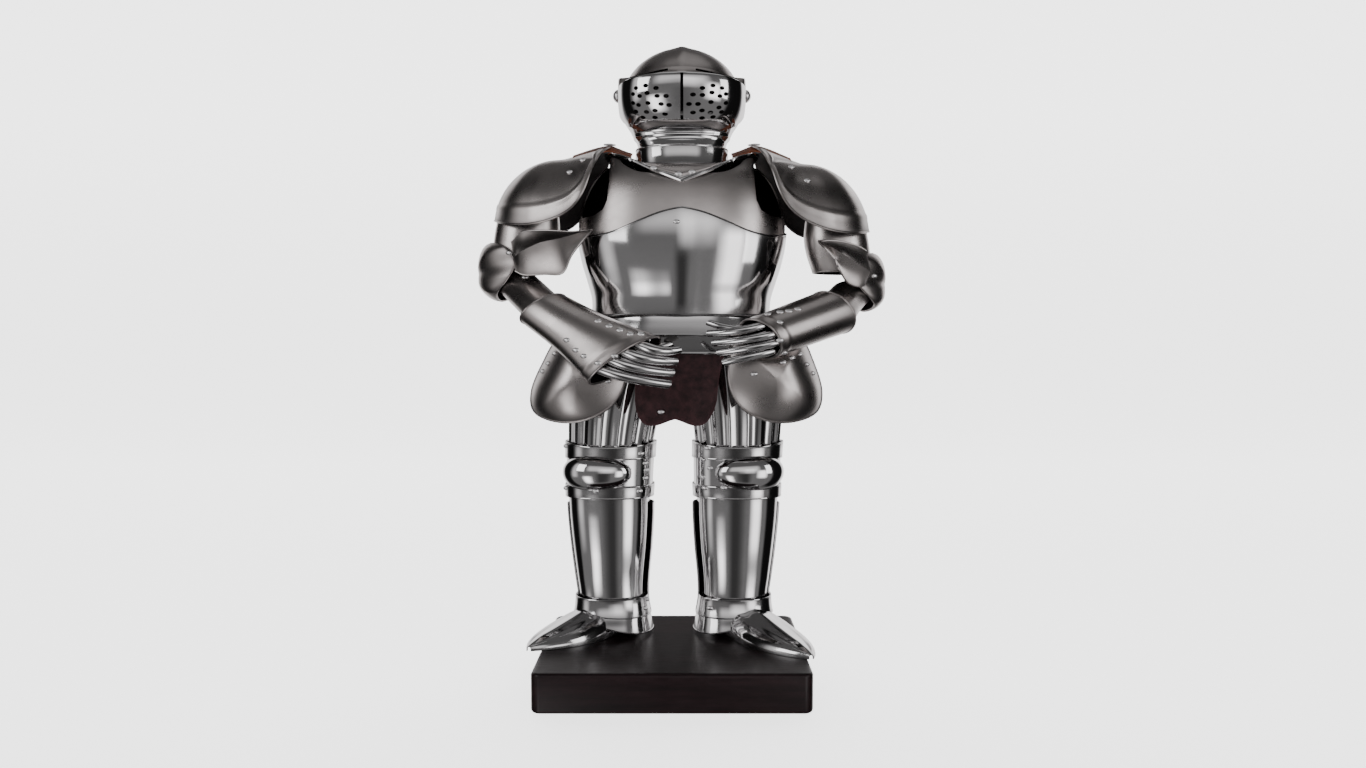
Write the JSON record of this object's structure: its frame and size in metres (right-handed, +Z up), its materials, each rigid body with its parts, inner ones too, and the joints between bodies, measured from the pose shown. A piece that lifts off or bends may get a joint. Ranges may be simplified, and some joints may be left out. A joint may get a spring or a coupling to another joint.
{
  "type": "suit of plate armour on a wooden base",
  "caption": "Display suit of polished plate armour, hollow and open at neck, arms and hem, with a visor that lifts, standing on a dark wooden block.",
  "frame": {"origin": "the middle of the wooden base's underside", "axes": "+Z up; the suit faces -Y; +X towards the suit's own left hand (the viewer's right)"},
  "size_m": [0.406, 0.1945, 0.6097],
  "materials": {
    "mirror_steel": "mirror-polished sheet steel",
    "satin_steel": "satin-polished sheet steel with a slightly warm grey sheen",
    "brown_leather": "worn dark brown leather, lightly waxed",
    "dark_wood": "stained nearly black maroon, semi-gloss lacquer"
  },
  "bodies": {
    "suit": {"base": "dark_wood", "skull": "satin_steel", "visor_pivot_right": "mirror_steel", "visor_pivot_left": "mirror_steel", "bevor": "mirror_steel", "nape_plate": "mirror_steel", "gorget_collar": "mirror_steel", "gorget_plate": "mirror_steel", "breastplate": "satin_steel", "plackart": "mirror_steel", "backplate": "satin_steel", "fauld_upper": "mirror_steel", "fauld_lower": "mirror_steel", "brayette": "brown_leather", "pauldron_right": "satin_steel", "rerebrace_right": "satin_steel", "couter_right": "satin_steel", "couter_wing_right": "satin_steel", "vambrace_right": "satin_steel", "cuff_right": "satin_steel", "finger_1_right": "mirror_steel", "finger_2_right": "mirror_steel", "finger_3_right": "mirror_steel", "finger_4_right": "mirror_steel", "thumb_right": "mirror_steel", "shoulder_strap_right": "brown_leather", "pauldron_left": "satin_steel", "rerebrace_left": "satin_steel", "couter_left": "satin_steel", "couter_wing_left": "satin_steel", "vambrace_left": "satin_steel", "cuff_left": "satin_steel", "finger_1_left": "mirror_steel", "finger_2_left": "mirror_steel", "finger_3_left": "mirror_steel", "finger_4_left": "mirror_steel", "thumb_left": "mirror_steel", "shoulder_strap_left": "brown_leather", "tasset_right": "satin_steel", "cuisse_right": "mirror_steel", "poleyn_upper_right": "mirror_steel", "poleyn_right": "mirror_steel", "poleyn_lower_right": "mirror_steel", "greave_front_right": "mirror_steel", "greave_back_right": "mirror_steel", "sabaton_right": "mirror_steel", "tasset_left": "satin_steel", "cuisse_left": "mirror_steel", "poleyn_upper_left": "mirror_steel", "poleyn_left": "mirror_steel", "poleyn_lower_left": "mirror_steel", "greave_front_left": "mirror_steel", "greave_back_left": "mirror_steel", "sabaton_left": "mirror_steel"},
    "visor": {"visor": "mirror_steel"}
  },
  "joints": [
    {"name": "visor_hinge", "type": "hinge", "parent": "suit", "child": "visor", "pos_m": [0.0085, 0.045, 0.565], "axis": [-1, 0, 0], "range_deg": [0, 70]}
  ]
}
